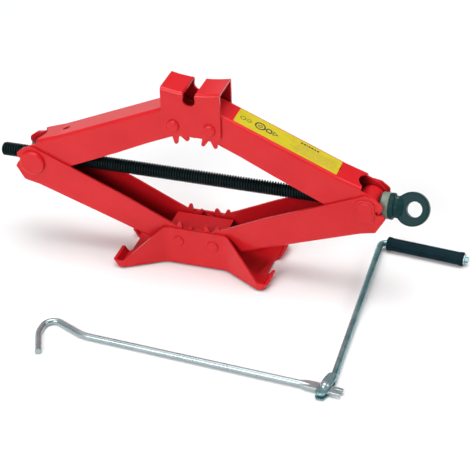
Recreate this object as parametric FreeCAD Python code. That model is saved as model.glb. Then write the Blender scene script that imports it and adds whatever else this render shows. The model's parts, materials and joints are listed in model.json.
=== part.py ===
"""A scissor car jack with its folding crank, one STEP file for each piece. Millimetres, +Z up.

X runs along the lifting screw, Y across the jack, Z up. The origin is on the ground, in the middle
of the foot of the base. The jack is partly raised, and the crank lies flat on the ground before it.
"""
import FreeCAD, Part
import math
import os

from FreeCAD import Vector

# ---- linkage
ARM_LENGTH = 165.0                  # pivot to pivot, the same for all four arms
HALF_PIN = 18.0                     # half the distance between the two base pins, or the two saddle pins
ARM_ANGLE = math.radians(23.3)      # slope of the arms at rest
BASE_PIN_Z = 28.6
TRUNNION_X = HALF_PIN + ARM_LENGTH * math.cos(ARM_ANGLE)
TRUNNION_Z = BASE_PIN_Z + ARM_LENGTH * math.sin(ARM_ANGLE)
SADDLE_PIN_Z = BASE_PIN_Z + 2 * ARM_LENGTH * math.sin(ARM_ANGLE)

# ---- sheet thicknesses and the half widths that nest the channels in each other
ARM_SHEET = 2.2
SADDLE_SHEET = 2.5
BASE_SHEET = 2.3
BRIDGE_SHEET = 2.2
SIDE_GAP = 0.25
UPPER_HALF = 15.25                              # outside of the upper arms
LOWER_HALF = UPPER_HALF + SIDE_GAP + ARM_SHEET  # the lower arms straddle the upper ones
UPPER_WEB_M = -18.8                             # outside of the upper arms' webs, from the pivots' line
SADDLE_HALF = UPPER_HALF + SIDE_GAP + SADDLE_SHEET
BASE_HALF = LOWER_HALF + SIDE_GAP + BASE_SHEET  # outside of the base walls between the pins
BRIDGE_HALF = LOWER_HALF - ARM_SHEET - SIDE_GAP

# ---- pins and holes
PIN_R = 4.0
JOURNAL_R = 6.5
RUNNING_GAP = 0.05

# ---- toothed ends of the arms: ten teeth to a full turn, on a pitch radius of HALF_PIN
TOOTH_PITCH = 36.0
TOOTH_TIP_R = 21.4
TOOTH_VALLEY_R = 13.6
TOOTH_ROOT_HALF = 3.15
TOOTH_TIP_HALF = 1.6
TOOTH_ROUND = 1.75
LEFT_TEETH = [1.3 + TOOTH_PITCH * i for i in range(4)]
RIGHT_TEETH = [-16.7 + TOOTH_PITCH * i for i in range(5)]

# ---- lifting screw and what rides on it
SCREW_R = 7.0
SCREW_LEFT_X = -209.4
JOURNAL_END_R = 5.5                 # turned-down end that runs in the right trunnion
BLOCK_HALF_X = 11.0
WASHER_THICK = 1.4
BUSH_R = 12.8
BUSH_LENGTH = 7.6
COLLAR_R = 12.8
COLLAR_LENGTH = 4.6
NECK_R = 10.6
EYE_R = 16.4
EYE_HOLE_R = 7.6
EYE_HALF_THICK = 5.0
EYE_TILT = 30.0                     # the eye's hole leans up and forward by this much
EYE_CENTRE_X = 211.4
EYE_HOLE_X = 213.6

# ---- crank
CRANK_Z = 4.0
ROD_R = 3.1
HINGE = Vector(172.9, -171.7, CRANK_Z)
RIVET_R = 2.5
BLADE_THICK = 3.4
CHEEK_GAP = 3.8
FORK_HALF_THICK = 4.0
GRIP_R = 6.5
GRIP_END_R = 7.0
GRIP_Z = GRIP_END_R
GRIP_LENGTH = 79.0

X_AXIS = Vector(1, 0, 0)
Y_AXIS = Vector(0, 1, 0)
Z_AXIS = Vector(0, 0, 1)
ORIGIN = Vector(0, 0, 0)


# ------------------------------------------------------------------ general helpers
def in_xz(y):
    """Places an outline's (a, b) in the upright plane at this y."""
    return lambda a, b: Vector(a, y, b)


def in_xy(z):
    """Places an outline's (a, b) in the level plane at this z."""
    return lambda a, b: Vector(a, b, z)


def rounded_wire(corners, place):
    """Closed outline through (a, b, radius) corners, each rounded by its own radius."""
    stops = []
    for i, (a, b, radius) in enumerate(corners):
        before = corners[i - 1]
        after = corners[(i + 1) % len(corners)]
        here = Vector(a, b, 0)
        back = (Vector(before[0], before[1], 0) - here).normalize()
        ahead = (Vector(after[0], after[1], 0) - here).normalize()
        half = back.getAngle(ahead) / 2
        if radius == 0 or half > math.radians(89.9):
            stops.append((here, here, here))
            continue
        trim = radius / math.tan(half)
        inward = (back + ahead).normalize() * (radius / math.sin(half) - radius)
        stops.append((here + back * trim, here + inward, here + ahead * trim))
    edges = []
    for i, (start, middle, end) in enumerate(stops):
        following = stops[(i + 1) % len(stops)][0]
        if start.distanceToPoint(end) > 1e-6:
            arc = Part.Arc(place(start.x, start.y), place(middle.x, middle.y), place(end.x, end.y))
            edges.append(arc.toShape())
        if end.distanceToPoint(following) > 1e-6:
            edges.append(Part.makeLine(place(end.x, end.y), place(following.x, following.y)))
    return Part.Wire(edges)


def plate(corners, y_from, y_to):
    """Outline in XZ, extruded across from y_from to y_to."""
    face = Part.Face(rounded_wire(corners, in_xz(y_from)))
    return face.extrude(Vector(0, y_to - y_from, 0))


def slab(corners, z_from, z_to):
    """Outline in XY, extruded up from z_from to z_to."""
    face = Part.Face(rounded_wire(corners, in_xy(z_from)))
    return face.extrude(Vector(0, 0, z_to - z_from))


def sharp(points):
    """Corners with no rounding."""
    return [(a, b, 0) for a, b in points]


def bar_y(radius, half, x=0.0, z=0.0):
    """Round bar along Y, from -half to half."""
    return Part.makeCylinder(radius, 2 * half, Vector(x, -half, z), Y_AXIS)


def bar_x(radius, x_from, x_to, z=0.0):
    """Round bar along X."""
    return Part.makeCylinder(radius, x_to - x_from, Vector(x_from, 0, z), X_AXIS)


def mirror_x(shape):
    return shape.mirror(ORIGIN, X_AXIS)


def mirror_y(shape):
    return shape.mirror(ORIGIN, Y_AXIS)


def mirror_z(shape):
    return shape.mirror(ORIGIN, Z_AXIS)


def ends_of_y(shape, half):
    """Edges that lie wholly in one of the planes y = -half and y = half."""
    found = []
    for edge in shape.Edges:
        box = edge.BoundBox
        if box.YLength < 1e-6 and abs(abs(box.YMin) - half) < 1e-6:
            found.append(edge)
    return found


def export(name, shape):
    """Writes one node, and stops if a solid is broken."""
    for solid in shape.Solids:
        if not solid.isValid() or solid.Volume <= 0:
            raise ValueError("broken solid in " + name)
    shape.exportStep(os.path.join("parts", name + ".step"))
    print(name, len(shape.Solids), "solid(s)", round(shape.Volume / 1000, 2), "cm3")


# ------------------------------------------------------------------ the four arms
# An arm is drawn with its trunnion pivot at the origin, its toothed end at (ARM_LENGTH, 0), u along X
# and m along Z. m grows towards the middle of the jack, and the web of the channel is on the other side.
def tooth(angle, half):
    """One finger-shaped tooth, through both side walls."""
    finger = [
        (TOOTH_VALLEY_R - 4, -TOOTH_ROOT_HALF - 0.8, 0),
        (TOOTH_TIP_R, -TOOTH_TIP_HALF, TOOTH_ROUND),
        (TOOTH_TIP_R, TOOTH_TIP_HALF, TOOTH_ROUND),
        (TOOTH_VALLEY_R - 4, TOOTH_ROOT_HALF + 0.8, 0),
    ]
    solid = plate(finger, -half, half)
    solid.rotate(ORIGIN, Y_AXIS, -angle)
    solid.translate(Vector(ARM_LENGTH, 0, 0))
    return solid


def web_edges(shape, web, half):
    """The two long folds between the web and the side walls."""
    folds = []
    for edge in ends_of_y(shape, half):
        first = edge.Vertexes[0].Point
        last = edge.Vertexes[-1].Point
        for (u0, m0), (u1, m1) in zip(web, web[1:]):
            on_web = abs(first.z - m0) < 1e-6 and abs(last.z - m1) < 1e-6
            swapped = abs(first.z - m1) < 1e-6 and abs(last.z - m0) < 1e-6
            spans = abs(min(first.x, last.x) - u0) < 1e-6 and abs(max(first.x, last.x) - u1) < 1e-6
            if spans and (on_web or swapped):
                folds.append(edge)
    return folds


def channel_arm(side, web, teeth, half, notch_end):
    """U-shaped arm: web is the outer line of the web, side the rest of the outline of its walls."""
    fold_out = 3.2
    fold_in = fold_out - ARM_SHEET
    inner_half = half - ARM_SHEET
    body = plate(side + sharp(reversed(web)), -half, half)
    body = body.makeFillet(fold_out, web_edges(body, web, half))
    parts = [bar_y(TOOTH_VALLEY_R, half, ARM_LENGTH)]
    for angle in teeth:
        parts.append(tooth(angle, half))
    body = body.multiFuse(parts).removeSplitter()
    inner = [(u, m + ARM_SHEET) for u, m in web]
    start_u = -60.0
    slope = (inner[1][1] - inner[0][1]) / (inner[1][0] - inner[0][0])
    first = (start_u, inner[0][1] + slope * (start_u - inner[0][0]))
    last_u = web[-1][0]
    run = [first] + inner[1:]
    hollow = plate(sharp(run + [(last_u, 60.0), (start_u, 60.0)]), -inner_half, inner_half)
    hollow = hollow.makeFillet(fold_in, web_edges(hollow, run, inner_half))
    mouth = plate(sharp([(last_u - 1, -60), (last_u + 90, -60), (last_u + 90, 60), (last_u - 1, 60)]),
                  -inner_half, inner_half)
    notch_r = inner_half
    centre_u = notch_end - notch_r
    notch = Part.makeCylinder(notch_r, 60, Vector(centre_u, 0, -60), Z_AXIS)
    notch_run = Part.makeBox(60, 2 * notch_r, 60, Vector(centre_u - 60, -notch_r, -60))
    body = body.cut([hollow, mouth, notch, notch_run])
    body = body.cut(bar_y(JOURNAL_R + RUNNING_GAP, half + 1))
    body = body.cut(bar_y(PIN_R + RUNNING_GAP, half + 1, ARM_LENGTH))
    return body.removeSplitter()


def upper_arm(teeth):
    """Upper arm in its own (u, m) frame."""
    web_m = UPPER_WEB_M
    web = [(14.0, web_m - 1.6), (37.0, web_m), (172.0, web_m)]
    side = [
        (12.6, -16.8, 1),
        (0.0, -16.4, 5),
        (-8.5, -13.0, 4),
        (-13.8, -6.0, 6),
        (-14.0, 4.0, 7),
        (-9.0, 12.5, 7),
        (2.0, 16.0, 6),
        (92.0, 13.9, 60),
        (128.0, 12.0, 30),
        (ARM_LENGTH, 11.6, 0),
        (ARM_LENGTH + 8.5, -8.0, 5),
        (ARM_LENGTH + 8.0, -14.6, 3),
    ]
    arm = channel_arm(side, web, teeth, UPPER_HALF, 19.6)
    slot = [(38.6, -2.2, 1), (46.0, -2.2, 1), (46.8, 2.8, 1), (39.4, 2.8, 1)]
    return arm.cut(slab(slot, web_m - 1, web_m + ARM_SHEET + 1))


def lower_arm(teeth, end_notch, end_tip):
    """Lower arm in its own (u, m) frame. Its end notch and the tip below reach these u values."""
    web = [(0.2, -25.0), (14.0, -22.4), (88.0, -17.8), (141.0, -14.8)]
    corner_u = -end_tip - 0.6
    side = [
        (corner_u, web[0][1] + 0.755 * (web[0][0] - corner_u), 1.5),
        (-end_tip, -8.6, 1.5),
        (-end_notch, -6.4, 1.5),
        (-end_notch, -2.0, 1.5),
        (-16.6, -3.4, 1.5),
        (-18.6, 1.8, 2.5),
        (-13.6, 11.0, 6),
        (-6.0, 16.0, 6),
        (98.0, 16.2, 60),
        (142.0, 14.2, 20),
        (ARM_LENGTH - 2.0, 13.6, 0),
        (ARM_LENGTH + 8.0, -11.0, 6),
        (151.0, -13.8, 6),
    ]
    return channel_arm(side, web, teeth, LOWER_HALF, 14.0)


def place_lower(arm):
    """Turns a lower arm from its (u, m) frame to the left side of the jack."""
    arm = arm.copy()
    arm.rotate(ORIGIN, Y_AXIS, math.degrees(ARM_ANGLE))
    arm.translate(Vector(-TRUNNION_X, 0, TRUNNION_Z))
    return arm


def place_upper(arm):
    """Turns an upper arm from its (u, m) frame to the left side of the jack."""
    arm = mirror_z(arm)
    arm.rotate(ORIGIN, Y_AXIS, -math.degrees(ARM_ANGLE))
    arm.translate(Vector(-TRUNNION_X, 0, TRUNNION_Z))
    return arm


def arm_label():
    """Thin label stuck to the web of the upper right arm, drawn in that arm's frame."""
    thick = 0.2
    label = slab([(40.0, -11.8, 0.8), (149.0, -11.8, 0.8), (149.0, 11.8, 0.8), (40.0, 11.8, 0.8)],
                 UPPER_WEB_M - thick, UPPER_WEB_M)
    return mirror_x(place_upper(label))


# ------------------------------------------------------------------ base
def base_outline(inset):
    """Half of the bow-tie plan of the base, as corners for x > 0, moved inwards by inset."""
    knee_x = 31.0
    foot_x = 69.0
    foot_half = 42.4
    lean = math.atan2(foot_half - BASE_HALF, foot_x - knee_x)
    shift = inset * math.tan(lean / 2)
    return (knee_x + shift, BASE_HALF - inset), (foot_x + shift, foot_half - inset)


def base_blank(inset, top):
    """The stamping's outer form, or with an inset its inner form, open to a height of top."""
    (knee_x, half), (foot_x, foot) = base_outline(inset)
    far = 95.0
    quarter = [(knee_x, half, 18.0 + inset), (foot_x, foot, 6.0 - inset), (far, foot, 0)]
    plan = [(x, -y, r) for x, y, r in quarter]
    plan += [(x, y, r) for x, y, r in reversed(quarter)]
    plan += [(-x, y, r) for x, y, r in quarter]
    plan += [(-x, -y, r) for x, y, r in reversed(quarter)]
    form = slab(plan, inset, top)
    end_low = 75.5 - inset * 0.7
    end_lean = 0.62
    low = inset
    profile = sharp([(-end_low, low), (end_low, low), (end_low + end_lean * (top - low), top),
                     (-end_low - end_lean * (top - low), top)])
    form = form.common(plate(profile, -80, 80))
    bend = 3.6 - inset
    foot_round = 4.0 - inset
    leaning = [edge for edge in form.Edges
               if edge.BoundBox.ZLength > 5 and edge.BoundBox.XLength > 5 and edge.BoundBox.YLength < 0.01]
    form = form.makeFillet(foot_round, leaning)
    bottom = [edge for edge in form.Edges if edge.BoundBox.ZMax < low + 1e-6]
    return form.makeFillet(bend, bottom)


def base_plate():
    """Bow-tie tray: high walls between the pins, low turned-up lips at both ends."""
    wall_top = 42.6
    lip_top = 8.6
    tray = base_blank(0.0, 60.0).cut(base_blank(BASE_SHEET, 70.0))
    skyline = [
        (-120, lip_top, 0), (-70.0, lip_top, 3), (-33.0, wall_top, 9),
        (33.0, wall_top, 9), (70.0, lip_top, 3), (120, lip_top, 0), (120, 90, 0), (-120, 90, 0),
    ]
    tray = tray.cut(plate(skyline, -80, 80))
    for end_x in (-1, 1):
        notch = [(72.0, -14.5, 5), (72.0, 14.5, 5), (120.0, 17.5, 0), (120.0, -17.5, 0)]
        notch = [(end_x * x, y, r) for x, y, r in notch]
        tray = tray.cut(slab(notch, -5, 40))
    for pin_x in (-HALF_PIN, HALF_PIN):
        tray = tray.cut(bar_y(PIN_R, 40, pin_x, BASE_PIN_Z))
    return tray


def base_bridge():
    """Inverted U that ties the two base pins together between the lower arms."""
    top = 41.0
    x_half = 29.3
    outline = [(-x_half, top, 0), (x_half, top, 0), (x_half, 24.0, 4), (25.0, 19.5, 3), (-25.0, 19.5, 3),
               (-x_half, 24.0, 4)]
    form = plate(outline, -BRIDGE_HALF, BRIDGE_HALF)
    folds = [edge for edge in ends_of_y(form, BRIDGE_HALF)
             if abs(edge.BoundBox.ZMin - top) < 1e-6]
    form = form.makeFillet(3.0, folds)
    inner = BRIDGE_HALF - BRIDGE_SHEET
    form = form.cut(plate(sharp([(-50, 0), (50, 0), (50, top - BRIDGE_SHEET), (-50, top - BRIDGE_SHEET)]),
                          -inner, inner))
    for pin_x in (-HALF_PIN, HALF_PIN):
        form = form.cut(bar_y(PIN_R, 40, pin_x, BASE_PIN_Z))
    return form


def riveted_pin(x, z, grip_half, head_r, head_thick, crown):
    """Pin across the jack with a head at each end. crown rounds the heads."""
    pin = bar_y(PIN_R, grip_half + 0.5, x, z)
    head = Part.makeCylinder(head_r, head_thick, Vector(x, grip_half, z), Y_AXIS)
    rim = [edge for edge in head.Edges if abs(edge.BoundBox.YMin - grip_half - head_thick) < 1e-6]
    head = head.makeFillet(crown, rim)
    return pin.multiFuse([head, mirror_y(head)]).removeSplitter()


# ------------------------------------------------------------------ saddle
def saddle():
    """Inverted U with a dished top and a round-bottomed slot for the car's sill seam."""
    x_half = 29.4
    top = 198.6
    dip = 3.4
    bottom = SADDLE_PIN_Z - 10.2

    def dished(lift, y, low):
        left = Vector(-x_half, y, top - lift)
        middle = Vector(0, y, top - dip - lift)
        right = Vector(x_half, y, top - lift)
        curve = Part.Arc(left, middle, right).toShape()
        runs = [
            Part.makeLine(right, Vector(x_half, y, low)),
            Part.makeLine(Vector(x_half, y, low), Vector(-x_half, y, low)),
            Part.makeLine(Vector(-x_half, y, low), left),
        ]
        return Part.Face(Part.Wire([curve] + runs))

    outer = dished(0, -SADDLE_HALF, bottom).extrude(Vector(0, 2 * SADDLE_HALF, 0))
    folds = [edge for edge in ends_of_y(outer, SADDLE_HALF) if edge.BoundBox.ZMin > top - dip - 1]
    outer = outer.makeFillet(3.4, folds)
    feet = [edge for edge in outer.Edges
            if edge.BoundBox.ZMax < bottom + 1e-6 and edge.BoundBox.XLength < 1e-6]
    outer = outer.makeFillet(4.5, feet)
    inner_half = SADDLE_HALF - SADDLE_SHEET
    inner = dished(SADDLE_SHEET, -inner_half, bottom - 5).extrude(Vector(0, 2 * inner_half, 0))
    folds = [edge for edge in ends_of_y(inner, inner_half)
             if edge.BoundBox.ZMin > top - dip - SADDLE_SHEET - 1]
    inner = inner.makeFillet(0.9, folds)
    channel = outer.cut(inner)

    slot_x = -1.2
    slot_r = 6.2
    slot_z = 187.7
    throat = 5.7
    slot = [
        (slot_x - throat, slot_z, 0), (slot_x - throat, top - 5.5, 3), (slot_x - 12.0, top + 8, 0),
        (slot_x + 12.0, top + 8, 0), (slot_x + throat, top - 5.5, 3), (slot_x + throat, slot_z, 0),
    ]
    channel = channel.cut([plate(slot, -40, 40), bar_y(slot_r, 40, slot_x, slot_z)])
    for pin_x in (-HALF_PIN, HALF_PIN):
        channel = channel.cut(bar_y(PIN_R, 40, pin_x, SADDLE_PIN_Z))
    return channel


# ------------------------------------------------------------------ trunnions and screw
def trunnion(bore_r):
    """Cross block with a journal on each side, about the origin, bored along X."""
    inner_half = UPPER_HALF - ARM_SHEET - 0.15
    body = bar_y(12.4, inner_half)
    faces = Part.makeBox(2 * BLOCK_HALF_X, 2 * inner_half, 40, Vector(-BLOCK_HALF_X, -inner_half, -20))
    body = body.common(faces)
    body = body.makeChamfer(0.8, ends_of_y(body, inner_half))
    journals = bar_y(JOURNAL_R, LOWER_HALF + 0.15)
    return body.fuse(journals).removeSplitter().cut(bar_x(bore_r, -30, 30))


def round_head():
    """Low round head on the end of the nut's journal, on the +Y side."""
    start = LOWER_HALF + 0.15
    thick = 3.7
    head = Part.makeCylinder(12.9, thick, Vector(0, start, 0), Y_AXIS)
    rim = [edge for edge in head.Edges if abs(edge.BoundBox.YMin - start - thick) < 1e-6]
    return head.makeFillet(2.2, rim)


def square_head():
    """Upright rounded head of the plain trunnion with a raised centre, on the +Y side."""
    start = LOWER_HALF + 0.15
    half_x = 9.4
    half_z = 12.6
    corners = [(-half_x, -half_z, 5.5), (half_x, -half_z, 5.5), (half_x, half_z, 5.5), (-half_x, half_z, 5.5)]
    flange_top = start + 1.1
    boss_top = start + 1.8
    head = plate(corners, start, flange_top)
    rim = [edge for edge in head.Edges if abs(edge.BoundBox.YMin - flange_top) < 1e-6]
    head = head.makeFillet(0.7, rim)
    inset = 2.6
    inner = [(x - math.copysign(inset, x), z - math.copysign(inset, z), 4.0) for x, z, r in corners]
    boss = plate(inner, start + 0.5, boss_top)
    rim = [edge for edge in boss.Edges if abs(edge.BoundBox.YMin - boss_top) < 1e-6]
    boss = boss.makeFillet(0.6, rim)
    return head.fuse(boss).removeSplitter()


def pair_of_heads(head, x):
    """The same head on both sides, at one trunnion."""
    both = Part.Compound([head, mirror_y(head)])
    both.translate(Vector(x, 0, TRUNNION_Z))
    return both


def ring_on_screw(outer, bore, x_from, x_to, chamfer):
    """Plain ring about the screw's axis."""
    ring = bar_x(outer, x_from, x_to, TRUNNION_Z)
    if chamfer > 0:
        rim = [edge for edge in ring.Edges if edge.BoundBox.XLength < 1e-6]
        ring = ring.makeChamfer(chamfer, rim)
    return ring.cut(bar_x(bore, x_from - 1, x_to + 1, TRUNNION_Z))


# where the rings sit along the screw, from the middle of the jack outwards
SHOULDER_X = TRUNNION_X - BLOCK_HALF_X - WASHER_THICK - 0.3
STOP_WASHER_X = TRUNNION_X - BLOCK_HALF_X - WASHER_THICK - 0.1
THRUST_WASHER_X = TRUNNION_X + BLOCK_HALF_X + 0.1
BUSH_X = THRUST_WASHER_X + WASHER_THICK
COLLAR_X = BUSH_X + BUSH_LENGTH + 0.1
NECK_X = COLLAR_X + COLLAR_LENGTH
EYE_PIN_X = NECK_X + 1.6
JOURNAL_END_X = EYE_PIN_X + 3.6


def lift_screw():
    """The screw as a bar of its thread's outer diameter, with its turned-down right end."""
    bar = bar_x(SCREW_R, SCREW_LEFT_X, SHOULDER_X, TRUNNION_Z)
    rim = [edge for edge in bar.Edges if edge.BoundBox.XMax < SCREW_LEFT_X + 1e-6]
    bar = bar.makeChamfer(1.6, rim)
    end = bar_x(JOURNAL_END_R, SHOULDER_X - 1, JOURNAL_END_X, TRUNNION_Z)
    screw = bar.fuse(end).removeSplitter()
    return screw.cut(Part.makeCylinder(2.0, 30, Vector(EYE_PIN_X, 0, TRUNNION_Z - 15), Z_AXIS))


def eye_cheeks(round_end):
    """The part that flattens from the round neck into the eye."""
    flat_end = EYE_CENTRE_X - 7.6
    centre = Vector(flat_end, 0, 0)
    circle = Part.makeCircle(NECK_R, Vector(round_end, 0, 0), X_AXIS)
    oval = Part.Ellipse(centre + Vector(0, 0, 13.4), centre + Vector(0, EYE_HALF_THICK - 0.1, 0), centre)
    return Part.makeLoft([Part.Wire([circle]), Part.Wire([oval.toShape()])], True)


def screw_eye():
    """Forged collar, neck and eye, pressed and pinned on the end of the screw."""
    collar = bar_x(COLLAR_R, COLLAR_X, NECK_X)
    rims = [edge for edge in collar.Edges if edge.BoundBox.XLength < 1e-6]
    collar = collar.makeFillet(0.9, rims)
    round_end = NECK_X + 3.4
    neck = bar_x(NECK_R, NECK_X - 1, round_end)
    ring = Part.makeCylinder(EYE_R, 2 * EYE_HALF_THICK, Vector(EYE_CENTRE_X, -EYE_HALF_THICK, 0), Y_AXIS)
    ring = ring.makeFillet(1.6, ends_of_y(ring, EYE_HALF_THICK))
    ring = ring.cut(bar_y(EYE_HOLE_R, 30, EYE_HOLE_X))
    mouths = [edge for edge in ends_of_y(ring, EYE_HALF_THICK)
              if abs(edge.BoundBox.XLength - 2 * EYE_HOLE_R) < 0.1]
    ring = ring.makeFillet(0.6, mouths)
    eye = collar.multiFuse([neck, eye_cheeks(round_end), ring])
    eye.rotate(ORIGIN, X_AXIS, -EYE_TILT)
    eye.translate(Vector(0, 0, TRUNNION_Z))
    eye = eye.cut(bar_x(JOURNAL_END_R, COLLAR_X - 5, JOURNAL_END_X, TRUNNION_Z))
    return eye.cut(Part.makeCylinder(2.0, 40, Vector(EYE_PIN_X, 0, TRUNNION_Z - 20), Z_AXIS))


def eye_pin():
    """Spring pin that locks the eye to the screw: a rolled tube with a slit."""
    half = NECK_R - 0.4
    tube = Part.makeCylinder(2.0, 2 * half, Vector(EYE_PIN_X, 0, TRUNNION_Z - half), Z_AXIS)
    tube = tube.cut(Part.makeCylinder(1.1, 2 * half, Vector(EYE_PIN_X, 0, TRUNNION_Z - half), Z_AXIS))
    slit = Part.makeBox(3, 0.5, 2 * half, Vector(EYE_PIN_X, -0.25, TRUNNION_Z - half))
    return tube.cut(slit)


# ------------------------------------------------------------------ crank
def swept_rod(points, radii, radius):
    """Round rod along a path of straight runs and tangent arcs."""
    edges = []
    previous = points[0]
    for i in range(1, len(points) - 1):
        back = (points[i - 1] - points[i]).normalize()
        ahead = (points[i + 1] - points[i]).normalize()
        half = back.getAngle(ahead) / 2
        trim = radii[i - 1] / math.tan(half)
        start = points[i] + back * trim
        end = points[i] + ahead * trim
        middle = points[i] + (back + ahead).normalize() * (radii[i - 1] / math.sin(half) - radii[i - 1])
        edges.append(Part.makeLine(previous, start))
        edges.append(Part.Arc(start, middle, end).toShape())
        previous = end
    edges.append(Part.makeLine(previous, points[-1]))
    path = Part.Wire(edges)
    direction = (points[1] - points[0]).normalize()
    circle = Part.Wire([Part.makeCircle(radius, points[0], direction)])
    return path.makePipeShell([circle], True, False)


def hook_rod():
    """Long rod of the crank: a hook at one end, a flat drilled blade with a slotted tip at the other."""
    z = CRANK_Z
    low = ROD_R + 0.04
    slope = -0.058
    blade_from = -24.0
    rod_end = Vector(HINGE.x + blade_from, HINGE.y + slope * blade_from, z)
    points = [Vector(-95.6, -192.6, low), Vector(-107.6, -165.0, low), Vector(-107.6, -139.0, low),
              Vector(-65.3, -158.1, low), rod_end]
    rod = swept_rod(points, [24, 10.5, 30], ROD_R)
    flattening = Part.makeCone(ROD_R, BLADE_THICK / 2, 11.0, rod_end, (rod_end - points[-2]).normalize())
    blade = [
        (blade_from, -3.2, 0), (-17.0, -5.0, 6), (2.0, -5.0, 0), (16.6, -4.9, 1), (16.6, -1.6, 0.6),
        (9.6, -1.4, 1.2), (9.6, 1.4, 1.2), (16.6, 1.6, 0.6), (16.6, 4.9, 1), (2.0, 5.0, 0),
        (-17.0, 4.6, 6), (blade_from, 2.0, 0),
    ]
    flat = slab(blade, z - BLADE_THICK / 2, z + BLADE_THICK / 2)
    flat = flat.makeFillet(0.6, [edge for edge in flat.Edges if edge.BoundBox.ZLength < 1e-6])
    flat.rotate(ORIGIN, Z_AXIS, -6.0)
    flat.translate(Vector(HINGE.x, HINGE.y, 0))
    rod = rod.multiFuse([flattening, flat]).removeSplitter()
    return rod.cut(Part.makeCylinder(RIVET_R, 20, HINGE - Vector(0, 0, 10), Z_AXIS))


def crank_rivet():
    """Rivet of the folding joint, domed on top and flush below."""
    below = FORK_HALF_THICK - 1.2
    top = FORK_HALF_THICK + RUNNING_GAP
    shank = Part.makeCylinder(RIVET_R, below + top, HINGE - Vector(0, 0, below), Z_AXIS)
    dome = Part.makeSphere(4.6, HINGE + Vector(0, 0, top - 1.4))
    dome = dome.common(Part.makeBox(20, 20, 10, HINGE + Vector(-10, -10, top)))
    return shank.fuse(dome).removeSplitter()


def crank_arm():
    """Short rod of the crank: a fork round the blade, a long reach, and a spindle for the grip."""
    elbow = GRIP_START - GRIP_DIRECTION * 6.9
    tip = GRIP_START + GRIP_DIRECTION * (GRIP_LENGTH + 4.5)
    root = Vector(176.5, -152.5, CRANK_Z)
    rod = swept_rod([root, elbow, tip], [6.0], ROD_R)
    cheek = [(-4.8, -13.0, 4.0), (4.8, -13.0, 4.0), (5.2, 10.0, 2), (4.2, 20.0, 4), (-4.2, 20.0, 4),
             (-5.2, 10.0, 2)]
    fork = slab(cheek, CRANK_Z - FORK_HALF_THICK, CRANK_Z + FORK_HALF_THICK)
    rims = [edge for edge in fork.Edges if edge.BoundBox.ZLength < 1e-6]
    fork = fork.makeFillet(1.0, rims)
    gap = slab(sharp([(-20, -20), (20, -20), (20, 12.5), (-20, 12.5)]),
               CRANK_Z - CHEEK_GAP / 2, CRANK_Z + CHEEK_GAP / 2)
    gap = gap.common(Part.makeCylinder(18.2, 40, Vector(0, 0, -10), Z_AXIS))
    fork = fork.cut(gap)
    collar = Part.makeSphere(4.6, Vector(0, 17.6, CRANK_Z))
    between = Part.makeBox(20, 10, 2 * FORK_HALF_THICK, Vector(-10, 13.5, CRANK_Z - FORK_HALF_THICK))
    collar = collar.common(between)
    fork = fork.fuse(collar)
    fork.rotate(ORIGIN, Z_AXIS, -9.0)
    fork.translate(Vector(HINGE.x, HINGE.y, 0))
    arm = rod.fuse(fork).removeSplitter()
    return arm.cut(Part.makeCylinder(RIVET_R + RUNNING_GAP, 20, HINGE - Vector(0, 0, 10), Z_AXIS))


GRIP_START = Vector(175.5, 63.1, GRIP_Z)
GRIP_DIRECTION = Vector(79.0, -7.3, 0).normalize()


def grip_sleeve():
    """Moulded sleeve that spins on the spindle, a little thicker at both ends."""
    flare = 5.0
    length = GRIP_LENGTH
    profile = [
        (0, ROD_R + 0.06), (length, ROD_R + 0.06), (length, GRIP_END_R - 0.5), (length - 0.6, GRIP_END_R),
        (length - flare + 1.5, GRIP_END_R), (length - flare, GRIP_R), (flare, GRIP_R),
        (flare - 1.5, GRIP_END_R), (0.6, GRIP_END_R), (0, GRIP_END_R - 0.5),
    ]
    wire = Part.makePolygon([Vector(a, 0, b) for a, b in profile + profile[:1]])
    sleeve = Part.Face(wire).revolve(ORIGIN, X_AXIS, 360)
    sleeve.rotate(ORIGIN, Z_AXIS, math.degrees(math.atan2(GRIP_DIRECTION.y, GRIP_DIRECTION.x)))
    sleeve.translate(GRIP_START)
    return sleeve


def grip_push_nut():
    """Spring washer pushed on the spindle to keep the sleeve on."""
    start = GRIP_START + GRIP_DIRECTION * (GRIP_LENGTH + 0.4)
    nut = Part.makeCylinder(5.4, 0.9, start, GRIP_DIRECTION)
    return nut.cut(Part.makeCylinder(ROD_R, 3, start - GRIP_DIRECTION, GRIP_DIRECTION))


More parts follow.
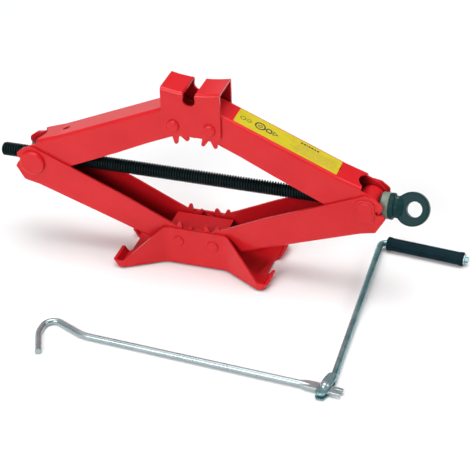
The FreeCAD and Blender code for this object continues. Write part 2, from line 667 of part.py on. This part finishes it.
# ------------------------------------------------------------------ everything, node by node
def build():
    os.makedirs("parts", exist_ok=True)
    export("base_plate", base_plate())
    export("base_bridge", base_bridge())
    for side, pin_x in (("left", -HALF_PIN), ("right", HALF_PIN)):
        export("base_pin_" + side, riveted_pin(pin_x, BASE_PIN_Z, BASE_HALF, 5.7, 1.5, 1.1))
        export("saddle_pin_" + side, riveted_pin(pin_x, SADDLE_PIN_Z, SADDLE_HALF, 6.3, 3.0, 2.6))
    export("lower_left_arm", place_lower(lower_arm(LEFT_TEETH, 13.5, 14.2)))
    export("lower_right_arm", mirror_x(place_lower(lower_arm(RIGHT_TEETH, 9.2, 15.6))))
    export("upper_left_arm", place_upper(upper_arm(LEFT_TEETH)))
    export("upper_right_arm", mirror_x(place_upper(upper_arm(RIGHT_TEETH))))
    export("arm_label", arm_label())
    export("saddle", saddle())
    left = Vector(-TRUNNION_X, 0, TRUNNION_Z)
    right = Vector(TRUNNION_X, 0, TRUNNION_Z)
    export("trunnion_nut", trunnion(SCREW_R + RUNNING_GAP).translated(left))
    export("trunnion_nut_heads", pair_of_heads(round_head(), -TRUNNION_X))
    export("trunnion_block", trunnion(JOURNAL_END_R + RUNNING_GAP).translated(right))
    export("trunnion_block_heads", pair_of_heads(square_head(), TRUNNION_X))
    bore = JOURNAL_END_R + RUNNING_GAP
    export("stop_washer", ring_on_screw(10.5, bore, STOP_WASHER_X, STOP_WASHER_X + WASHER_THICK, 0.2))
    export("thrust_washer", ring_on_screw(10.8, bore, THRUST_WASHER_X, BUSH_X, 0.2))
    export("thrust_bush", ring_on_screw(BUSH_R, bore, BUSH_X, BUSH_X + BUSH_LENGTH, 0.8))
    export("lift_screw", lift_screw())
    export("screw_eye", screw_eye())
    export("eye_pin", eye_pin())
    export("hook_rod", hook_rod())
    export("crank_rivet", crank_rivet())
    export("crank_arm", crank_arm())
    export("grip_sleeve", grip_sleeve())
    export("grip_push_nut", grip_push_nut())


build()
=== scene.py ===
import json
import math

import bmesh
import bpy
from mathutils import Matrix, Vector


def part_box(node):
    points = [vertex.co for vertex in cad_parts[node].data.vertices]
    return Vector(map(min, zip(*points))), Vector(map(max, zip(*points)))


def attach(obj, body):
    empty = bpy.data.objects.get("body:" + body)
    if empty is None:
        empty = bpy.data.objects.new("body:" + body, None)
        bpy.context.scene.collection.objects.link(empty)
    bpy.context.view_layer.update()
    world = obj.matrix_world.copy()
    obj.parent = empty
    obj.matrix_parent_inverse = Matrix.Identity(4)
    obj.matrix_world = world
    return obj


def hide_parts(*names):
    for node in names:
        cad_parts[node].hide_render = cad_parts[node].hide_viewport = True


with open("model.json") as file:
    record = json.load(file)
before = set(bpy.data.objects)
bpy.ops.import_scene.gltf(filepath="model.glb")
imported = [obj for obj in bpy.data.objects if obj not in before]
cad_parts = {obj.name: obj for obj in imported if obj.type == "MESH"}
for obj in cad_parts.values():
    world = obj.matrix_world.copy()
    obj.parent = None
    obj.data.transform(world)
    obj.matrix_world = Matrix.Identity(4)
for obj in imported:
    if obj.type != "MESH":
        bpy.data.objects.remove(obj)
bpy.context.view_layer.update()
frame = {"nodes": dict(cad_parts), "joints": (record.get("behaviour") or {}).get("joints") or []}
NODES = frame["nodes"]
JOINTS = {joint["name"]: joint for joint in frame["joints"]}

MM = 0.001


# ------------------------------------------------------------------ node helpers
class Graph:
    """A material or world node tree, with short calls to add and join nodes."""

    def __init__(self, owner):
        owner.use_nodes = True
        self.tree = owner.node_tree
        self.tree.nodes.clear()

    def add(self, kind, inputs=None, **settings):
        node = self.tree.nodes.new(kind)
        for key, value in settings.items():
            setattr(node, key, value)
        for key, value in (inputs or {}).items():
            self.feed(node.inputs[key], value)
        return node

    def feed(self, socket, value):
        """Joins a socket to another node's output, or sets its value."""
        if isinstance(value, bpy.types.NodeSocket):
            self.tree.links.new(value, socket)
        else:
            socket.default_value = value

    def math(self, operation, a, b):
        return self.add("ShaderNodeMath", {0: a, 1: b}, operation=operation).outputs[0]

    def noise(self, vector, scale, detail=2.0, roughness=0.5):
        node = self.add("ShaderNodeTexNoise", {"Vector": vector, "Scale": scale, "Detail": detail,
                                               "Roughness": roughness})
        return node.outputs["Fac"]

    def stretch(self, vector, lengths, turn=0.0):
        """Makes a pattern that many times longer along each axis, the axes turned about Z first."""
        node = self.add("ShaderNodeMapping", {"Vector": vector, "Scale": lengths, "Rotation": (0.0, 0.0, turn)},
                        vector_type="TEXTURE")
        return node.outputs[0]

    def ramp(self, factor, stops):
        """stops are (place, colour) pairs."""
        node = self.add("ShaderNodeValToRGB", {"Fac": factor})
        marks = node.color_ramp.elements
        while len(marks) < len(stops):
            marks.new(0.5)
        for mark, (place, colour) in zip(marks, stops):
            mark.position = place
            mark.color = (*colour, 1.0)
        return node.outputs["Color"]

    def span(self, value, low, high, to_low=0.0, to_high=1.0):
        """Maps low to to_low and high to to_high, clamped to them outside that range."""
        node = self.add("ShaderNodeMapRange", {0: value, 1: low, 2: high, 3: to_low, 4: to_high})
        return node.outputs[0]

    def mix(self, factor, a, b):
        node = self.add("ShaderNodeMix", data_type="RGBA")
        self.feed(node.inputs[0], factor)
        for socket, value in ((node.inputs[6], a), (node.inputs[7], b)):
            self.feed(socket, (*value, 1.0) if isinstance(value, tuple) else value)
        return node.outputs[2]


def surface(name):
    """A new material with its graph and the place on the object, in metres."""
    material = bpy.data.materials.new(name)
    graph = Graph(material)
    place = graph.add("ShaderNodeTexCoord").outputs["Object"]
    return material, graph, place


def edges_of(graph, radius):
    """The normal with rounded edges, and how far it leaves the flat one: 1 on an edge, 0 elsewhere."""
    rounded = graph.add("ShaderNodeBevel", {"Radius": radius}, samples=6).outputs[0]
    flat = graph.add("ShaderNodeNewGeometry").outputs["Normal"]
    along = graph.add("ShaderNodeVectorMath", {0: rounded, 1: flat}, operation="DOT_PRODUCT").outputs["Value"]
    return rounded, graph.span(along, 0.99, 0.80)


def finish_surface(graph, normal, constants, **linked):
    """The shader: constants are set on its own sockets, linked ones come from nodes."""
    shader = graph.add("ShaderNodeBsdfPrincipled", {"Normal": normal})
    for key, value in constants.items():
        shader.inputs[key].default_value = value
    for key, value in linked.items():
        graph.feed(shader.inputs[key.replace("_", " ")], value)
    output = graph.add("ShaderNodeOutputMaterial")
    graph.tree.links.new(shader.outputs[0], output.inputs[0])


def bump(graph, height, normal, strength, distance):
    node = graph.add("ShaderNodeBump", {"Height": height, "Normal": normal, "Strength": strength,
                                        "Distance": distance})
    return node.outputs[0]


# ------------------------------------------------------------------ materials
def powder_coat():
    """Glossy red powder coat over pressed steel, with orange peel, faint waves and paler worn edges.

    Painted shade darkens recesses towards the inside, and the base tray's low floor carries a shallow pressed
    relief.
    """
    material, graph, place = surface("red_powder_coat")
    rounded, edge = edges_of(graph, 0.45 * MM)
    peel = graph.noise(place, 620.0, 3.0, 0.55)
    waves = graph.noise(place, 55.0, 2.0, 0.5)
    cloud = graph.noise(place, 16.0, 3.0, 0.6)
    tone = graph.mix(graph.span(cloud, 0.35, 0.65), (0.590, 0.009, 0.014), (0.640, 0.014, 0.019))
    scuff = graph.noise(graph.stretch(place, (1.0, 1.7, 1.0)), 210.0, 5.0, 0.7)
    worn = graph.math("MULTIPLY", edge, graph.span(scuff, 0.46, 0.66, 0.10, 0.50))
    colour = graph.mix(worn, tone, (0.78, 0.070, 0.075))
    speck = graph.noise(place, 900.0, 2.0, 0.5)
    colour = graph.mix(graph.span(speck, 0.72, 0.80, 0.0, 0.35), colour, (0.20, 0.012, 0.014))
    # painted shade: the colour turns near black deep in recesses, standing in for the shade inside them
    reach = 45.0 * MM
    openness_for_painted_shade = graph.add("ShaderNodeAmbientOcclusion", {"Distance": reach}, samples=8).outputs["AO"]
    colour = graph.mix(graph.span(openness_for_painted_shade, 0.10, 0.42, 0.85, 0.0), colour, (0.035, 0.004, 0.008))
    height = graph.add("ShaderNodeSeparateXYZ", {0: place}).outputs[2]
    relief = graph.add("ShaderNodeTexWave", {"Vector": place, "Scale": 9.0, "Distortion": 9.0, "Detail": 1.0,
                                             "Detail Scale": 2.2}, bands_direction="DIAGONAL").outputs["Fac"]
    tray_floor = graph.span(height, 2.6 * MM, 4.5 * MM, 1.0, 0.0)
    relief = graph.math("MULTIPLY", relief, tray_floor)
    normal = bump(graph, relief, rounded, 0.55, 1.6 * MM)
    normal = bump(graph, waves, normal, 0.30, 0.45 * MM)
    normal = bump(graph, peel, normal, 0.16, 0.10 * MM)
    gloss = graph.math("ADD", graph.span(cloud, 0.3, 0.7, 0.20, 0.28), graph.math("MULTIPLY", edge, 0.20))
    finish_surface(graph, normal, {"IOR": 1.36}, Base_Color=colour, Roughness=gloss)
    return material


def black_oxide(name, streaks, index, dark, light, wear_and_highlight_tone):
    """Dull black oxide on turned or forged steel, with a cold green-blue cast.

    streaks stretches its marks along each axis; the last colour paints its edges: worn steel, and a painted
    highlight on crests.
    """
    material, graph, place = surface(name)
    rounded, edge = edges_of(graph, 0.30 * MM)
    marks = graph.noise(graph.stretch(place, streaks), 240.0, 4.0, 0.6)
    patches = graph.noise(place, 45.0, 3.0, 0.6)
    colour = graph.mix(graph.span(patches, 0.3, 0.7), dark, light)
    # paler edges: partly worn steel, partly a painted highlight along the thread crests
    worn = graph.math("MULTIPLY", edge, graph.span(marks, 0.45, 0.65, 0.15, 0.60))
    colour = graph.mix(worn, colour, wear_and_highlight_tone)
    normal = bump(graph, marks, rounded, 0.22, 0.06 * MM)
    finish_surface(graph, normal, {"IOR": index}, Base_Color=colour,
                   Roughness=graph.span(patches, 0.3, 0.7, 0.30, 0.42))
    return material


def zinc_plate(name, streaks, turn, dark, light):
    """Bright zinc plate on drawn rod: long drawing marks, soft bloom and a cold cast.

    streaks and turn make the drawing marks follow the rod.
    """
    material, graph, place = surface(name)
    rounded, edge = edges_of(graph, 0.25 * MM)
    drawn = graph.noise(graph.stretch(place, streaks, turn), 320.0, 4.0, 0.65)
    bloom = graph.noise(place, 70.0, 4.0, 0.6)
    colour = graph.mix(graph.span(bloom, 0.30, 0.75), dark, light)
    colour = graph.mix(graph.span(drawn, 0.58, 0.80, 0.0, 0.35), colour, tuple(0.5 * c for c in dark))
    worn = graph.math("MULTIPLY", edge, 0.4)
    colour = graph.mix(worn, colour, tuple(1.3 * c for c in light))
    normal = bump(graph, drawn, rounded, 0.16, 0.03 * MM)
    finish_surface(graph, normal, {"Metallic": 0.75}, Base_Color=colour,
                   Roughness=graph.span(bloom, 0.3, 0.7, 0.24, 0.34))
    return material


def moulded_plastic(name, dark, light, roughness, grain, index):
    """Moulded plastic with a fine grain, slightly shinier and paler where hands rub it."""
    material, graph, place = surface(name)
    rounded, edge = edges_of(graph, 0.40 * MM)
    pits = graph.noise(place, grain, 3.0, 0.6)
    wear = graph.noise(place, 60.0, 3.0, 0.6)
    colour = graph.mix(graph.span(wear, 0.35, 0.70), dark, light)
    worn = graph.math("MULTIPLY", edge, 0.35)
    colour = graph.mix(worn, colour, tuple(min(1.0, 2.2 * c + 0.02) for c in light))
    normal = bump(graph, pits, rounded, 0.35, 0.09 * MM)
    finish_surface(graph, normal, {"IOR": index}, Base_Color=colour,
                   Roughness=graph.span(wear, 0.3, 0.7, roughness - 0.06, roughness + 0.06))
    return material


def label_film():
    """Printed yellow film, with faint creases and a little grime from handling."""
    material, graph, place = surface("label_film")
    cloud = graph.noise(place, 90.0, 4.0, 0.6)
    colour = graph.mix(graph.span(cloud, 0.3, 0.7), (0.530, 0.432, 0.018), (0.605, 0.495, 0.026))
    grime = graph.noise(place, 420.0, 4.0, 0.7)
    colour = graph.mix(graph.span(grime, 0.60, 0.80, 0.0, 0.30), colour, (0.42, 0.33, 0.06))
    rounded = graph.add("ShaderNodeBevel", {"Radius": 0.1 * MM}, samples=4).outputs[0]
    normal = bump(graph, graph.noise(place, 130.0, 2.0), rounded, 0.25, 0.12 * MM)
    finish_surface(graph, normal, {"IOR": 1.18}, Base_Color=colour,
                   Roughness=graph.span(cloud, 0.3, 0.7, 0.36, 0.46))
    return material


def print_ink(name, dark, light):
    """Screen-printed ink, patchy where the film is rough."""
    material, graph, place = surface(name)
    patch = graph.noise(place, 700.0, 4.0, 0.7)
    colour = graph.mix(graph.span(patch, 0.40, 0.75), dark, light)
    flat = graph.add("ShaderNodeNewGeometry").outputs["Normal"]
    normal = bump(graph, patch, flat, 0.2, 0.03 * MM)
    finish_surface(graph, normal, {"IOR": 1.45}, Base_Color=colour,
                   Roughness=graph.span(patch, 0.3, 0.7, 0.40, 0.55))
    return material


# how many times longer a surface's marks are along each axis
ALONG_X = (25.0, 1.0, 1.0)
ALONG_Y = (1.0, 25.0, 1.0)
AROUND_X = (1.0, 4.0, 4.0)
EVEN = (1.0, 1.0, 1.0)
# how far the hook rod and the crank arm lie off the X and Y axes
ROD_TURN = math.radians(-3.3)
ARM_TURN = math.radians(2.1)

RED = powder_coat()
FORGED = black_oxide("black_oxide_forged", EVEN, 1.16, (0.004, 0.028, 0.030), (0.009, 0.040, 0.042),
                     (0.04, 0.10, 0.105))
# the screw's pale edge tone also paints the highlights along its thread crests
TURNED = black_oxide("black_oxide_turned", AROUND_X, 1.20, (0.001, 0.006, 0.007), (0.002, 0.010, 0.011),
                     (0.09, 0.17, 0.175))
ZINC_X = zinc_plate("zinc_along_x", ALONG_X, ROD_TURN, (0.31, 0.38, 0.40), (0.42, 0.49, 0.50))
# painted shade: the crank arm's zinc is darker and bluer than the hook rod's, standing in for the shade it
# falls into
SHADED_ZINC_Y = zinc_plate("zinc_along_y_painted_shade", ALONG_Y, ARM_TURN, (0.15, 0.31, 0.33), (0.27, 0.44, 0.46))
ZINC = zinc_plate("zinc_small_parts", EVEN, 0.0, (0.36, 0.43, 0.44), (0.48, 0.54, 0.55))
GRIP = moulded_plastic("grip_plastic", (0.001, 0.012, 0.018), (0.003, 0.022, 0.030), 0.46, 700.0, 1.15)
BUSH = moulded_plastic("bush_material", (0.125, 0.15, 0.115), (0.215, 0.245, 0.20), 0.45, 500.0, 1.38)
FILM = label_film()
DARK_INK = print_ink("dark_ink", (0.020, 0.022, 0.025), (0.060, 0.060, 0.060))
FAINT_INK = print_ink("faint_ink", (0.40, 0.24, 0.06), (0.52, 0.36, 0.07))

NODE_MATERIALS = {
    "arm_label": FILM,
    "trunnion_nut": TURNED, "screw_eye": FORGED, "thrust_washer": FORGED,
    "stop_washer": ZINC, "eye_pin": ZINC, "thrust_bush": BUSH,
    "hook_rod": ZINC_X, "crank_rivet": ZINC, "crank_arm": SHADED_ZINC_Y, "grip_sleeve": GRIP, "grip_push_nut": ZINC,
}
for node_name, node in NODES.items():
    node.data.materials.clear()
    node.data.materials.append(NODE_MATERIALS.get(node_name, RED))


# ------------------------------------------------------------------ mesh helpers
def new_piece(name, mesh, material, body):
    """Adds a mesh to the scene as a piece that rides on a CAD body."""
    mesh.materials.append(material)
    piece = bpy.data.objects.new(name, mesh)
    bpy.context.scene.collection.objects.link(piece)
    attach(piece, body)
    return piece


def mesh_from(name, build, smooth_angle=None):
    """Runs build on an empty bmesh and returns the finished mesh, its normals outwards."""
    work = bmesh.new()
    build(work)
    bmesh.ops.recalc_face_normals(work, faces=work.faces)
    mesh = bpy.data.meshes.new(name)
    work.to_mesh(mesh)
    work.free()
    if smooth_angle is not None:
        mesh.shade_smooth()
        mesh.set_sharp_from_angle(angle=math.radians(smooth_angle))
    return mesh


# ------------------------------------------------------------------ lifting screw
PITCH = 2.69 * MM
ROOT_R = 5.30 * MM
JOURNAL_R = 5.5 * MM
CHAMFER_R = 5.1 * MM           # the screw's left end face
CHAMFER_SLOPE = 1.15           # how fast the radius grows from that end
RUNOUT_SLOPE = 1.6             # how fast it shrinks to the journal at the shoulder
EDGE_BREAK = 0.5 * MM
SHOULDER_GAP = 0.2 * MM        # between the shoulder and the stop washer
WELD = 1e-6
THREAD_ANGLES = 40
THREAD_SMOOTH_ANGLE = 28.0
# a pitch's profile from crest to crest: place along it, and 1 at the crest or 0 at the root
THREAD_PROFILE = ((0.00, 0.90), (0.05, 1.0), (0.19, 1.0), (0.24, 0.90), (0.46, 0.08), (0.51, 0.0), (0.73, 0.0),
                  (0.78, 0.08))


def lift_thread():
    """The screw with its real helical thread, chamfered at the left and run out at the journal."""
    low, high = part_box("lift_screw")
    washer_low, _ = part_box("stop_washer")
    axis_z = (low.z + high.z) / 2
    crest = (high.z - low.z) / 2
    left = low.x
    right = high.x
    shoulder = washer_low.x - SHOULDER_GAP

    def radius(x, height):
        wanted = ROOT_R + (crest - ROOT_R) * height
        chamfered = CHAMFER_R + (x - left) * CHAMFER_SLOPE
        run_out = JOURNAL_R + (shoulder - x) * RUNOUT_SLOPE
        return min(wanted, chamfered, run_out)

    def build(work):
        turns = math.ceil((shoulder - left) / PITCH) + 2
        shift = len(THREAD_PROFILE)
        rows = (turns + 1) * shift
        columns = []
        for step in range(THREAD_ANGLES):
            angle = 2 * math.pi * step / THREAD_ANGLES
            column = []
            for turn in range(-1, turns):
                for place, height in THREAD_PROFILE:
                    x = left + (turn + place + step / THREAD_ANGLES) * PITCH
                    x = min(max(x, left), shoulder)
                    column.append((x, radius(x, height)))
            column.append((right - EDGE_BREAK, JOURNAL_R))
            column.append((right, JOURNAL_R - EDGE_BREAK))
            columns.append([work.verts.new((x, r * math.cos(angle), axis_z + r * math.sin(angle)))
                            for x, r in column])
        for step in range(THREAD_ANGLES):
            here = columns[step]
            there = columns[(step + 1) % THREAD_ANGLES]
            wrap = shift if step == THREAD_ANGLES - 1 else 0
            for row in range(rows - 1 - wrap):
                work.faces.new((here[row], here[row + 1], there[row + 1 + wrap], there[row + wrap]))
            for row in range(rows - 1, rows + 1):
                work.faces.new((here[row], here[row + 1], there[row + 1], there[row]))
        work.faces.new([column[0] for column in columns])
        work.faces.new([column[-1] for column in columns])
        bmesh.ops.remove_doubles(work, verts=work.verts, dist=WELD)
        bmesh.ops.dissolve_degenerate(work, edges=work.edges, dist=WELD)

    return mesh_from("lift_thread", build, THREAD_SMOOTH_ANGLE)


# ------------------------------------------------------------------ label print
def print_frame():
    """A matrix from the label's own axes to the object's frame, in metres.

    Its axes run along the arm from the trunnion, across the arm, and out of its web.
    """
    trunnion = Vector(JOINTS["upper_right_pivot"]["pos_m"])
    saddle_pin = Vector(JOINTS["saddle_pivot"]["pos_m"])
    saddle_pin.x = -saddle_pin.x
    along = (saddle_pin - trunnion).normalized()
    across = Vector((0, 1, 0))
    out = along.cross(-across)
    turn = Matrix((along, across, out)).transposed().to_4x4()
    return Matrix.Translation(trunnion) @ turn


PRINT_FRAME = print_frame()
FILM_TOP = 19.0 * MM           # the label's surface, out from the line between the pivots
INK = 0.04 * MM

# sizes of the print in mm: u runs along the arm from the trunnion, v across it
# rings: centre u and v, outer and inner radius, sides, turn in degrees
DARK_RINGS = (
    (142.2, -0.5, 2.9, 2.1, 20, 0.0),
    (135.8, -0.5, 2.9, 2.1, 4, 0.0),
    (124.2, 0.4, 5.6, 4.1, 36, 0.0),
    (124.2, 0.4, 2.3, 1.4, 20, 0.0),
    (114.8, -0.2, 3.9, 2.3, 6, 0.0),
    (108.6, -0.2, 3.9, 2.3, 3, 60.0),
)
HEADING_WIDTHS = (2.2, 1.8, 2.4, 1.9, 0.9, 2.3, 2.2)
HEADING_START = 64.2
HEADING_BOTTOM = 6.6
HEADING_TOP = 8.8
HEADING_GAP = 0.9
LINE_WIDTHS = (7.0, 4.2, 8.6, 5.4, 6.3, 3.6, 7.7, 4.8)
LINE_ROWS = 7
LINE_START = 43.5
LINE_END = 86.0
LINE_INDENT = 0.8              # every second row starts this much further along
LINE_TOP = 4.2
LINE_STEP = 2.0
LINE_HALF = 0.32
LINE_GAP = 1.2


def ink_shape(work, outline):
    """A closed flat outline of (along, across) points in mm, raised by the ink's thickness."""
    lower = [work.verts.new(PRINT_FRAME @ Vector((u * MM, v * MM, FILM_TOP))) for u, v in outline]
    upper = [work.verts.new(PRINT_FRAME @ Vector((u * MM, v * MM, FILM_TOP + INK))) for u, v in outline]
    work.faces.new(lower)
    work.faces.new(upper)
    for i in range(len(outline)):
        j = (i + 1) % len(outline)
        work.faces.new((lower[i], lower[j], upper[j], upper[i]))


def ink_bar(work, u0, u1, v0, v1):
    ink_shape(work, [(u0, v0), (u1, v0), (u1, v1), (u0, v1)])


def ink_ring(work, u, v, outer, inner, sides, turn):
    """A ring of quads about (u, v), with that many sides."""
    for i in range(sides):
        quad = []
        for r, k in ((outer, i), (outer, i + 1), (inner, i + 1), (inner, i)):
            angle = turn + 2 * math.pi * k / sides
            quad.append((u + r * math.cos(angle), v + r * math.sin(angle)))
        ink_shape(work, quad)


def dark_print(work):
    """Plain generic marks at the saddle end, and a heading of short blocks."""
    for u, v, outer, inner, sides, turn in DARK_RINGS:
        ink_ring(work, u, v, outer, inner, sides, math.radians(turn))
    u = HEADING_START
    for width in HEADING_WIDTHS:
        ink_bar(work, u, u + width, HEADING_BOTTOM, HEADING_TOP)
        u += width + HEADING_GAP


def faint_print(work):
    """Rows of short bars, as fine print would look from a distance."""
    for row in range(LINE_ROWS):
        v = LINE_TOP - LINE_STEP * row
        u = LINE_START + LINE_INDENT * (row % 2)
        i = 3 * row
        while u < LINE_END:
            width = LINE_WIDTHS[i % len(LINE_WIDTHS)]
            ink_bar(work, u, u + width, v - LINE_HALF, v + LINE_HALF)
            u += width + LINE_GAP
            i += 1


# ------------------------------------------------------------------ pieces
screw = new_piece("lift_thread", lift_thread(), TURNED, "screw")
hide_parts("lift_screw")
new_piece("label_marks", mesh_from("label_marks", dark_print), DARK_INK, "upper_right")
new_piece("label_lines", mesh_from("label_lines", faint_print), FAINT_INK, "upper_right")


# ------------------------------------------------------------------ floor, light and camera
FLOOR_HALF = 7.0               # metres
CAMERA_AZIMUTH = 18.82         # degrees to the right of straight in front
CAMERA_ELEVATION = 33.94
CAMERA_ROLL = -1.717
CAMERA_LENS = 117.92           # mm, on a sensor 36 mm wide
CAMERA_SENSOR = 36.0
CAMERA_PLACE = Vector((0.4430, -1.1983, 0.8843))
# softboxes: name, place, target, width, height, power
SOFTBOXES = (
    ("key_light", (-0.6, -2.1, 1.25), (0.0, 0.0, 0.08), 1.3, 0.8, 34.0),
    ("top_light", (0.1, 0.1, 2.4), (0.0, 0.0, 0.0), 2.2, 1.6, 45.0),
    ("side_fill", (2.3, 0.3, 1.1), (0.0, 0.0, 0.08), 1.2, 1.0, 19.0),
)


def stage_floor():
    """A large pale floor, faintly uneven in tone."""
    material, graph, place = surface("pale_floor")
    tone = graph.noise(place, 3.0, 2.0)
    colour = graph.mix(tone, (0.88, 0.88, 0.88), (0.93, 0.93, 0.93))
    flat = graph.add("ShaderNodeNewGeometry").outputs["Normal"]
    finish_surface(graph, bump(graph, graph.noise(place, 400.0), flat, 0.05, 0.1 * MM),
                   {"IOR": 1.3}, Base_Color=colour, Roughness=graph.span(tone, 0.3, 0.7, 0.75, 0.85))

    def build(work):
        bmesh.ops.create_grid(work, x_segments=8, y_segments=8, size=FLOOR_HALF)

    mesh = mesh_from("floor", build)
    mesh.materials.append(material)
    floor = bpy.data.objects.new("floor", mesh)
    bpy.context.scene.collection.objects.link(floor)


def studio_world():
    """White sweep low at the back, dim cold room in front and to the right, soft light overhead."""
    world = bpy.data.worlds.new("studio")
    bpy.context.scene.world = world
    graph = Graph(world)
    direction = graph.add("ShaderNodeTexCoord").outputs["Generated"]
    parts = graph.add("ShaderNodeSeparateXYZ", {0: direction})
    right, back, up = parts.outputs[0], parts.outputs[1], parts.outputs[2]
    height = graph.span(up, 0.0, 1.0)
    cold = (0.012, 0.055, 0.060)
    front = graph.ramp(height, [(0.0, cold), (0.22, (0.03, 0.08, 0.09)), (0.50, (0.62, 0.64, 0.65)),
                                (1.0, (0.9, 0.9, 0.9))])
    rear = graph.ramp(height, [(0.0, (1.5, 1.5, 1.5)), (0.26, (1.2, 1.2, 1.2)), (0.42, (0.20, 0.25, 0.26)),
                               (0.70, (0.35, 0.38, 0.39)), (1.0, (0.9, 0.9, 0.9))])
    colour = graph.mix(graph.span(back, -0.20, 0.30), front, rear)
    colour = graph.mix(graph.span(right, 0.0, 0.55, 0.0, 0.92), colour, cold)
    background = graph.add("ShaderNodeBackground", {"Color": colour, "Strength": 0.62})
    output = graph.add("ShaderNodeOutputWorld")
    graph.tree.links.new(background.outputs[0], output.inputs[0])


def softbox(name, place, target, width, height, power):
    """A rectangular lamp turned to face its target."""
    light = bpy.data.lights.new(name, "AREA")
    light.shape = "RECTANGLE"
    light.size = width
    light.size_y = height
    light.energy = power
    lamp = bpy.data.objects.new(name, light)
    bpy.context.scene.collection.objects.link(lamp)
    lamp.location = place
    lamp.rotation_euler = (Vector(target) - Vector(place)).to_track_quat("-Z", "Y").to_euler()


def product_camera():
    """The camera of the product shot: from the front right, well above the ground, with a long lens."""
    azimuth = math.radians(CAMERA_AZIMUTH)
    elevation = math.radians(CAMERA_ELEVATION)
    roll = math.radians(CAMERA_ROLL)
    ahead = Vector((-math.sin(azimuth) * math.cos(elevation), math.cos(azimuth) * math.cos(elevation),
                    -math.sin(elevation)))
    level = Vector((math.cos(azimuth), math.sin(azimuth), 0))
    upright = level.cross(ahead)
    side = level * math.cos(roll) + upright * math.sin(roll)
    top = upright * math.cos(roll) - level * math.sin(roll)
    data = bpy.data.cameras.new("product_camera")
    data.sensor_width = CAMERA_SENSOR
    data.lens = CAMERA_LENS
    camera = bpy.data.objects.new("product_camera", data)
    bpy.context.scene.collection.objects.link(camera)
    turn = Matrix((side, top, -ahead)).transposed().to_4x4()
    camera.matrix_world = Matrix.Translation(CAMERA_PLACE) @ turn
    bpy.context.scene.camera = camera


stage_floor()
studio_world()
for box in SOFTBOXES:
    softbox(*box)
product_camera()
bpy.context.scene.view_settings.view_transform = "Standard"
